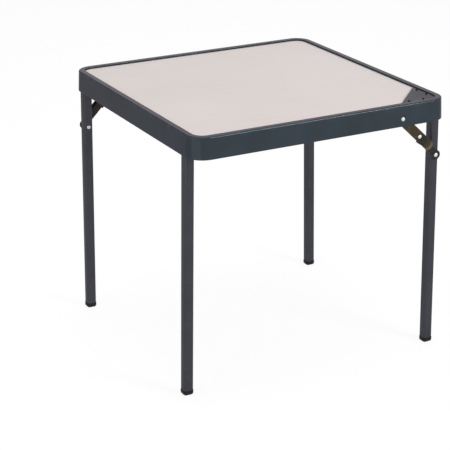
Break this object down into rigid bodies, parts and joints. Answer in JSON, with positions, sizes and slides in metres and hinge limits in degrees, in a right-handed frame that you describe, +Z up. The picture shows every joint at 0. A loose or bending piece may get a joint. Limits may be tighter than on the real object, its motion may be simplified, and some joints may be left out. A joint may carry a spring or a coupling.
{
  "type": "folding camping table",
  "caption": "Small square camping table: a recessed pale board in a rounded metal rim, on two splayed leg frames that fold flat side by side inside the rim, each locked by a jointed stay.",
  "frame": {"origin": "on the floor, under the middle of the table", "axes": "+Z up; +X along the front rim to the right, towards the leg frame whose stay is at the front; +Y to the back"},
  "size_m": [0.4254, 0.423, 0.4],
  "materials": {
    "rim_coating": "slate-blue powder coat, satin",
    "board_laminate": "pale warm grey melamine on fibreboard, satin",
    "plate_coating": "powder coat, satin",
    "tube_coating": "powder coat, satin",
    "stay_steel": "yellow zinc plate, dull",
    "rivet_steel": "bright zinc plate",
    "dark_screw": "black oxide",
    "zinc_screw": "zinc plate",
    "clip_nylon": "moulded nylon, matt",
    "foot_rubber": "moulded soft plastic, matt"
  },
  "bodies": {
    "table_top": {"rim_frame": "rim_coating", "table_board": "board_laminate", "corner_plate": "plate_coating", "corner_plate_screws": "dark_screw", "right_front_clip": "clip_nylon", "right_rear_clip": "clip_nylon", "left_front_clip": "clip_nylon", "left_rear_clip": "clip_nylon", "clip_screws": "zinc_screw", "right_rim_rivet": "rivet_steel", "left_rim_rivet": "rivet_steel", "right_rim_bush": "rivet_steel", "left_rim_bush": "rivet_steel"},
    "right_leg_frame": {"right_front_leg": "tube_coating", "right_rear_leg": "tube_coating", "right_front_leg_plug": "clip_nylon", "right_rear_leg_plug": "clip_nylon", "right_front_foot": "foot_rubber", "right_rear_foot": "foot_rubber", "right_cross_tube": "tube_coating", "right_leg_rivet": "rivet_steel", "right_leg_washer": "rivet_steel"},
    "left_leg_frame": {"left_rear_leg": "tube_coating", "left_front_leg": "tube_coating", "left_rear_leg_plug": "clip_nylon", "left_front_leg_plug": "clip_nylon", "left_rear_foot": "foot_rubber", "left_front_foot": "foot_rubber", "left_cross_tube": "tube_coating", "left_leg_rivet": "rivet_steel", "left_leg_washer": "rivet_steel"},
    "right_stay_upper": {"right_upper_link": "stay_steel", "right_elbow_rivet": "rivet_steel", "right_elbow_spacer": "rivet_steel"},
    "right_stay_lower": {"right_lower_link": "stay_steel", "right_elbow_rivet_tail": "rivet_steel"},
    "left_stay_upper": {"left_upper_link": "stay_steel", "left_elbow_rivet": "rivet_steel", "left_elbow_spacer": "rivet_steel"},
    "left_stay_lower": {"left_lower_link": "stay_steel", "left_elbow_rivet_tail": "rivet_steel"}
  },
  "joints": [
    {"name": "right_leg_fold", "type": "hinge", "parent": "table_top", "child": "right_leg_frame", "pos_m": [0.19815, 0, 0.379], "axis": [0, 1, 0], "range_deg": [0, 90.98]},
    {"name": "right_stay_upper_turn", "type": "hinge", "parent": "table_top", "child": "right_stay_upper", "pos_m": [0.12885, -0.2013, 0.379], "axis": [0, 1, 0], "range_deg": [0, 136.54]},
    {"name": "right_stay_lower_turn", "type": "hinge", "parent": "right_leg_frame", "child": "right_stay_lower", "pos_m": [0.19934, -0.1958, 0.30971], "axis": [0, -1, 0], "range_deg": [0, 136.54]},
    {"name": "left_leg_fold", "type": "hinge", "parent": "table_top", "child": "left_leg_frame", "pos_m": [-0.19815, 0, 0.379], "axis": [0, -1, 0], "range_deg": [0, 90.98]},
    {"name": "left_stay_upper_turn", "type": "hinge", "parent": "table_top", "child": "left_stay_upper", "pos_m": [-0.12885, 0.2013, 0.379], "axis": [0, -1, 0], "range_deg": [0, 136.54]},
    {"name": "left_stay_lower_turn", "type": "hinge", "parent": "left_leg_frame", "child": "left_stay_lower", "pos_m": [-0.19934, 0.1958, 0.30971], "axis": [0, 1, 0], "range_deg": [0, 136.54]}
  ],
  "couplings": [
    {"joint": "right_stay_upper_turn", "follows": "right_leg_fold", "ratio": 1.5007},
    {"joint": "right_stay_lower_turn", "follows": "right_leg_fold", "ratio": 1.5007},
    {"joint": "left_stay_upper_turn", "follows": "left_leg_fold", "ratio": 1.5007},
    {"joint": "left_stay_lower_turn", "follows": "left_leg_fold", "ratio": 1.5007}
  ]
}
